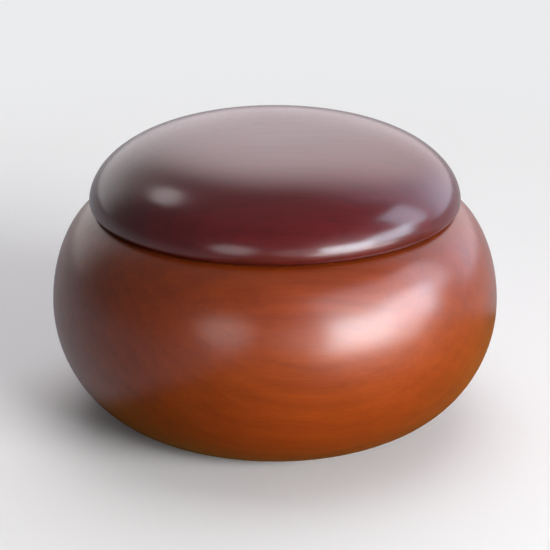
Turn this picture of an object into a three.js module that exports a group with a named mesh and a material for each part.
// A lidded go stone bowl, turned in two pieces from solid wood.
//
// Units are millimetres, +Z is up, and the origin is the centre of the foot, on the plane the bowl stands on.
// Both pieces are solids of revolution about Z. Each is a lathe profile that starts and ends on that axis.
//
//   bowl  a squat, full-bellied body, hollowed wider than its mouth, with a raised lip round the mouth
//         and a flat seat outside the lip
//   lid   a low domed cover with a bullnose edge. Its hollow underside drops over the lip and its flat
//         rim sits just above the seat. Turned over, the hollow is the dish for captured stones.

import * as THREE from "three";

const SEGMENTS = 72; // facets round the axis
const MIN_POINT_SPACING = 0.02; // profile points no further apart than this are merged

// ---- Bowl dimensions ----
// Foot
const FOOT_OUTER_RADIUS = 43.0; // ring the bowl stands on
const FOOT_INNER_RADIUS = 36.0;
const FOOT_RECESS = 1.5; // depth of the shallow recess inside the ring
const FOOT_INNER_SLOPE = 1.6; // width of the slope from ring to recess
const FOOT_EDGE_WIDTH = 1.7; // slight rise outside the ring
const FOOT_EDGE_RISE = 0.25;

// Belly
const BELLY_RADIUS = 75.0; // widest point of the body
const BELLY_HEIGHT = 39.9; // height of that widest point
const BELLY_BASE_RADIUS = 40.0; // where the lower curve would run out level with the floor
const LOWER_FULLNESS = 1.96; // superellipse exponents: 2 is an ellipse, more is fuller
const SHOULDER_RADIUS = 55.8; // where the upper curve would run out level
const SHOULDER_HEIGHT = 73.8;
const UPPER_FULLNESS = 1.97;

// Seat and lip
const SEAT_HEIGHT = 73.0; // flat under the lid's rim
const SEAT_OUTER_RADIUS = 59.2;
const SEAT_EDGE_WIDTH = 0.7; // slight fall outside the seat
const SEAT_EDGE_DROP = 0.15;
const LIP_OUTER_RADIUS = 52.6;
const LIP_TOP = SEAT_HEIGHT + 2.8;
const LIP_TAPER = 0.1; // narrowing of the lip's outer face towards its chamfer
const LIP_CHAMFER = 0.8;

// Mouth and hollow
const MOUTH_RADIUS = 49.6;
const CAVITY_RADIUS = 66.5; // widest point of the hollow
const CAVITY_HEIGHT = 41.5; // height of that widest point
const CAVITY_TOP = 67.0; // underside of the mouth rim
const CAVITY_TOP_RADIUS = MOUTH_RADIUS + 1.0;
const CAVITY_FULLNESS = 2.2;
const FLOOR_HEIGHT = 9.0;
const FLOOR_RADIUS = 28.0; // flat middle of the floor

// Eased edges of the mouth: [outward from MOUTH_RADIUS, up from LIP_TOP or CAVITY_TOP]
const MOUTH_UPPER_EDGE = [[0.9, 0], [0.2, -0.5], [0, -1.3]];
const MOUTH_LOWER_EDGE = [[0, 1.1], [0.4, 0.2]];

// ---- Lid dimensions ----
const LID_RADIUS = 61.9; // widest point of the lid
const LID_EDGE_HEIGHT = 75.7; // height of that widest point
const LID_TOP = 99.0; // overall height with the lid on
const DOME_FULLNESS = 1.865;
const DOME_FLATNESS = 3.05; // higher is flatter across the crown
const RIM_HEIGHT = SEAT_HEIGHT + 0.3; // a small gap above the seat
const RIM_OUTER_RADIUS = 59.3;
const RECESS_RADIUS = 53.4; // bore that clears the lip
const RECESS_DEPTH = 3.2; // straight part of that bore
const DISH_TOP = 89.6; // deepest point of the hollow underside
const DISH_FULLNESS = 2.0;
const DISH_FLATNESS = 2.6;

// ---- Profile helpers: every point is [radius, height] ----

// A quarter of a superellipse, from its level end to its upright end.
// fullness is the exponent on height, flatness the exponent on radius.
// trim, in radians, cuts back the level end.
function quarter({ level, upright, fullness, flatness = fullness, steps, trim = 0 }) {
  const [levelRadius, levelHeight] = level;
  const [uprightRadius, uprightHeight] = upright;
  const points = [];
  for (let i = 0; i <= steps; i++) {
    const angle = trim + ((Math.PI / 2 - trim) * i) / steps;
    // The last cosine is set to zero, as rounding can leave it slightly off.
    const rise = i === steps ? 0 : Math.cos(angle) ** (2 / fullness);
    const reach = Math.sin(angle) ** (2 / flatness);
    points.push([
      levelRadius + (uprightRadius - levelRadius) * reach,
      uprightHeight + (levelHeight - uprightHeight) * rise,
    ]);
  }
  return points;
}

// Moves a run of points outward and up.
function shift(points, radius, height) {
  return points.map(([r, z]) => [radius + r, height + z]);
}

// Joins runs of points into one profile, dropping a point that repeats the one before it.
function chain(...runs) {
  const profile = [];
  for (const [radius, height] of runs.flat()) {
    const point = new THREE.Vector2(radius, height);
    const last = profile.at(-1);
    if (!last || last.distanceTo(point) > MIN_POINT_SPACING) profile.push(point);
  }
  return profile;
}

// Turns a profile about Z. The lathe works about Y, so the result is tipped upright.
function turned(name, profile, color) {
  const geometry = new THREE.LatheGeometry(profile, SEGMENTS);
  geometry.rotateX(Math.PI / 2);
  const mesh = new THREE.Mesh(geometry, polishedWood(color));
  mesh.name = name;
  return mesh;
}

function polishedWood(color) {
  return new THREE.MeshStandardMaterial({ color, roughness: 0.3, metalness: 0 });
}

// ---- Pieces ----

// Runs from the centre of the underside, up the outside, over the lip and down the hollow.
function makeBowl() {
  const underside = [
    [0, FOOT_RECESS],
    [FOOT_INNER_RADIUS - FOOT_INNER_SLOPE, FOOT_RECESS],
    [FOOT_INNER_RADIUS, 0],
    [FOOT_OUTER_RADIUS, 0],
    [FOOT_OUTER_RADIUS + FOOT_EDGE_WIDTH, FOOT_EDGE_RISE],
  ];

  const widest = [BELLY_RADIUS, BELLY_HEIGHT];
  const lowerBelly = quarter({
    level: [BELLY_BASE_RADIUS, 0],
    upright: widest,
    fullness: LOWER_FULLNESS,
    steps: 13,
    trim: 0.18,
  });
  const upperBelly = quarter({
    level: [SHOULDER_RADIUS, SHOULDER_HEIGHT],
    upright: widest,
    fullness: UPPER_FULLNESS,
    steps: 11,
    trim: 0.26,
  }).reverse();

  const seat = [
    [SEAT_OUTER_RADIUS + SEAT_EDGE_WIDTH, SEAT_HEIGHT - SEAT_EDGE_DROP],
    [SEAT_OUTER_RADIUS, SEAT_HEIGHT],
    [LIP_OUTER_RADIUS, SEAT_HEIGHT],
  ];
  const lip = [
    [LIP_OUTER_RADIUS - LIP_TAPER, LIP_TOP - LIP_CHAMFER],
    [LIP_OUTER_RADIUS - LIP_TAPER - LIP_CHAMFER, LIP_TOP],
  ];
  const mouth = [
    ...shift(MOUTH_UPPER_EDGE, MOUTH_RADIUS, LIP_TOP),
    ...shift(MOUTH_LOWER_EDGE, MOUTH_RADIUS, CAVITY_TOP),
  ];

  const cavity = { upright: [CAVITY_RADIUS, CAVITY_HEIGHT], fullness: CAVITY_FULLNESS };
  const upperCavity = quarter({ ...cavity, level: [CAVITY_TOP_RADIUS, CAVITY_TOP], steps: 8 });
  const lowerCavity = quarter({
    ...cavity,
    level: [FLOOR_RADIUS, FLOOR_HEIGHT],
    steps: 10,
  }).reverse();
  const floor = [[0, FLOOR_HEIGHT]];

  const outside = [...underside, ...lowerBelly, ...upperBelly];
  const profile = chain(outside, seat, lip, mouth, upperCavity, lowerCavity, floor);
  return turned("bowl", profile, "#8e3c1f");
}

// Runs from the centre of the hollow, down to the rim, round the edge and up over the dome.
function makeLid() {
  const widest = [LID_RADIUS, LID_EDGE_HEIGHT];
  const dish = quarter({
    level: [0, DISH_TOP],
    upright: [RECESS_RADIUS, RIM_HEIGHT + RECESS_DEPTH],
    fullness: DISH_FULLNESS,
    flatness: DISH_FLATNESS,
    steps: 9,
  });
  const rim = [[RECESS_RADIUS, RIM_HEIGHT]];
  const bullnose = quarter({
    level: [RIM_OUTER_RADIUS, RIM_HEIGHT],
    upright: widest,
    fullness: 2,
    steps: 4,
  });
  const dome = quarter({
    level: [0, LID_TOP],
    upright: widest,
    fullness: DOME_FULLNESS,
    flatness: DOME_FLATNESS,
    steps: 15,
  }).reverse();
  return turned("lid", chain(dish, rim, bullnose, dome), "#5f2a2b");
}

const goStoneBowl = new THREE.Group();
goStoneBowl.name = "go_stone_bowl";
goStoneBowl.add(makeBowl(), makeLid());

export default goStoneBowl;
